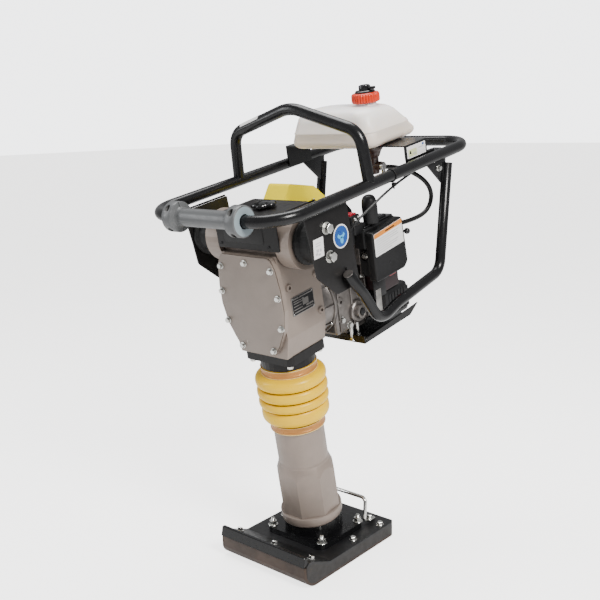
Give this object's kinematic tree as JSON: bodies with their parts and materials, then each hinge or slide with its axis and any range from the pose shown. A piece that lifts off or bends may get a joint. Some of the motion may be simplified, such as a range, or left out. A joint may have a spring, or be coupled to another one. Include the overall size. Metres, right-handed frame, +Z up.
{
  "type": "tamping rammer",
  "caption": "Petrol tamping rammer: sprung foot under a yellow bellows, gear-driven ram, side engine, rubber-mounted tube handle with roller and fuel tank.",
  "frame": {"origin": "centre of the foot across its width, on the floor plane, under the lower end of the leg's axis", "axes": "+Z up, -Y towards the roller and the toe of the foot, +Y towards the operator, +X towards the machine's carburettor side"},
  "size_m": [0.4126, 0.7745, 1.1134],
  "materials": {
    "black_paint": "satin",
    "cast_paint": "satin",
    "leg_paint": "satin",
    "cast_aluminium": "satin",
    "zinc_plate": "satin",
    "machined_steel": "satin",
    "black_plastic": "satin",
    "black_rubber": "matte",
    "yellow_boot": "satin",
    "tan_band": "satin",
    "yellow_paint": "gloss",
    "red_plastic": "satin",
    "orange_plastic": "satin",
    "tank_plastic": "satin",
    "roller_plastic": "satin",
    "brown_plastic": "satin",
    "shoe_block": "satin",
    "sole_steel": "satin"
  },
  "bodies": {
    "foot": {"shoe_sole": "sole_steel", "shoe_body": "shoe_block", "toe_bar": "black_paint", "leg_base": "black_paint", "foot_handle": "zinc_plate", "spring_cylinder": "leg_paint", "rod_guide": "machined_steel", "lower_spring": "machined_steel", "upper_spring": "machined_steel", "bellows": "yellow_boot", "lower_boot_clamp": "tan_band"},
    "machine": {"upper_boot_clamp": "tan_band", "guide_cylinder": "black_paint", "crankcase": "cast_paint", "front_cover": "cast_paint", "crank_bearing": "machined_steel", "clutch_housing": "cast_aluminium", "engine_block": "cast_aluminium", "cylinder_barrel": "cast_aluminium", "rocker_cover": "black_paint", "fan_housing": "red_plastic", "engine_shroud": "black_plastic", "recoil_cover": "black_plastic", "oil_filler_plug": "cast_aluminium", "carburettor": "cast_aluminium", "air_cleaner_case": "black_plastic", "air_cleaner_cover": "black_plastic", "breather_dome": "black_plastic", "muffler": "machined_steel", "muffler_guard": "yellow_paint", "engine_tray": "black_paint", "top_cover": "black_plastic", "rubber_mount_left": "black_rubber", "rubber_mount_right": "black_rubber"},
    "handle_frame": {"main_loop": "black_paint", "lifting_hoop": "black_paint", "side_plate_left": "black_paint", "side_plate_right": "black_paint", "guard_tube_left": "black_paint", "guard_tube_right": "black_paint", "tank_bracket": "black_paint", "fuel_tank": "tank_plastic", "fuel_tap": "brown_plastic", "fuel_hose": "black_rubber", "throttle_bracket": "black_paint", "throttle_cable": "black_rubber"},
    "crank": {"crank_gear": "machined_steel"},
    "rod": {"connecting_rod": "machined_steel"},
    "ram": {"ram_piston": "machined_steel"},
    "drum": {"clutch_drum": "machined_steel"},
    "engine_rotor": {"engine_shaft": "machined_steel"},
    "starter_grip": {"recoil_grip": "black_rubber"},
    "choke": {"choke_lever": "machined_steel"},
    "knob": {"top_knob": "black_plastic"},
    "roller": {"roller_half_front": "roller_plastic", "roller_half_rear": "roller_plastic"},
    "tank_cap": {"fuel_cap": "orange_plastic"},
    "vent_knob": {"cap_vent": "black_plastic"},
    "fuel_lever": {"fuel_tap_lever": "orange_plastic"},
    "throttle": {"throttle_lever": "black_plastic"}
  },
  "joints": [
    {"name": "ram_stroke", "type": "slide", "parent": "foot", "child": "machine", "axis": [0, -0.1788, 0.9839], "range_m": [-0.03, 0.03], "stiffness_N_per_m": 45000, "springref_m": 0.011, "deforming": ["bellows", "lower_spring", "upper_spring"]},
    {"name": "handle_rock", "type": "hinge", "parent": "machine", "child": "handle_frame", "pos_m": [0, -0.14472, 0.7846], "axis": [1, 0, 0], "range_deg": [-2, 2], "stiffness_Nm_per_rad": 6000, "springref_deg": 0.29, "deforming": ["fuel_hose", "throttle_cable"]},
    {"name": "crank_turn", "type": "hinge", "parent": "machine", "child": "crank", "pos_m": [0, -0.11127, 0.67888], "axis": [0, 0.9839, 0.1788], "continuous": true},
    {"name": "rod_swing", "type": "hinge", "parent": "crank", "child": "rod", "pos_m": [0, -0.11664, 0.7084], "axis": [0, 0.9839, 0.1788], "continuous": true},
    {"name": "drum_turn", "type": "hinge", "parent": "machine", "child": "drum", "pos_m": [0, -0.04781, 0.60931], "axis": [0, 0.9839, 0.1788], "continuous": true},
    {"name": "engine_turn", "type": "hinge", "parent": "machine", "child": "engine_rotor", "pos_m": [0, 0.09977, 0.63613], "axis": [0, 0.9839, 0.1788], "continuous": true},
    {"name": "ram_slide", "type": "slide", "parent": "machine", "child": "ram", "axis": [0, -0.1788, 0.9839], "range_m": [-0.06, 0]},
    {"name": "starter_pull", "type": "slide", "parent": "machine", "child": "starter_grip", "axis": [0, 0.9839, 0.1788], "range_m": [0, 0.5], "stiffness_N_per_m": 25, "springref_m": -0.4},
    {"name": "choke_swing", "type": "hinge", "parent": "machine", "child": "choke", "pos_m": [0.112, 0.18998, 0.74379], "axis": [0, 0.9839, 0.1788], "range_deg": [0, 45]},
    {"name": "knob_turn", "type": "hinge", "parent": "machine", "child": "knob", "pos_m": [0.01, -0.15058, 0.85042], "axis": [0, -0.1788, 0.9839], "continuous": true},
    {"name": "roller_turn", "type": "hinge", "parent": "handle_frame", "child": "roller", "pos_m": [0, -0.31161, 0.84168], "axis": [1, 0, 0], "continuous": true},
    {"name": "cap_turn", "type": "hinge", "parent": "handle_frame", "child": "tank_cap", "pos_m": [0.055, 0.15959, 1.07876], "axis": [0, -0.1788, 0.9839], "range_deg": [0, 120]},
    {"name": "vent_turn", "type": "hinge", "parent": "tank_cap", "child": "vent_knob", "pos_m": [0.055, 0.15602, 1.09843], "axis": [0, -0.1788, 0.9839], "range_deg": [0, 90]},
    {"name": "tap_turn", "type": "hinge", "parent": "handle_frame", "child": "fuel_lever", "pos_m": [0.0783, 0.18999, 0.92268], "axis": [1, 0, 0], "range_deg": [0, 90]},
    {"name": "throttle_swing", "type": "hinge", "parent": "handle_frame", "child": "throttle", "pos_m": [0.166, 0.2518, 0.9461], "axis": [1, 0, 0], "range_deg": [0, 75]}
  ],
  "couplings": [
    {"joint": "rod_swing", "follows": "crank_turn", "ratio": -1},
    {"joint": "drum_turn", "follows": "crank_turn", "ratio": -5}
  ]
}
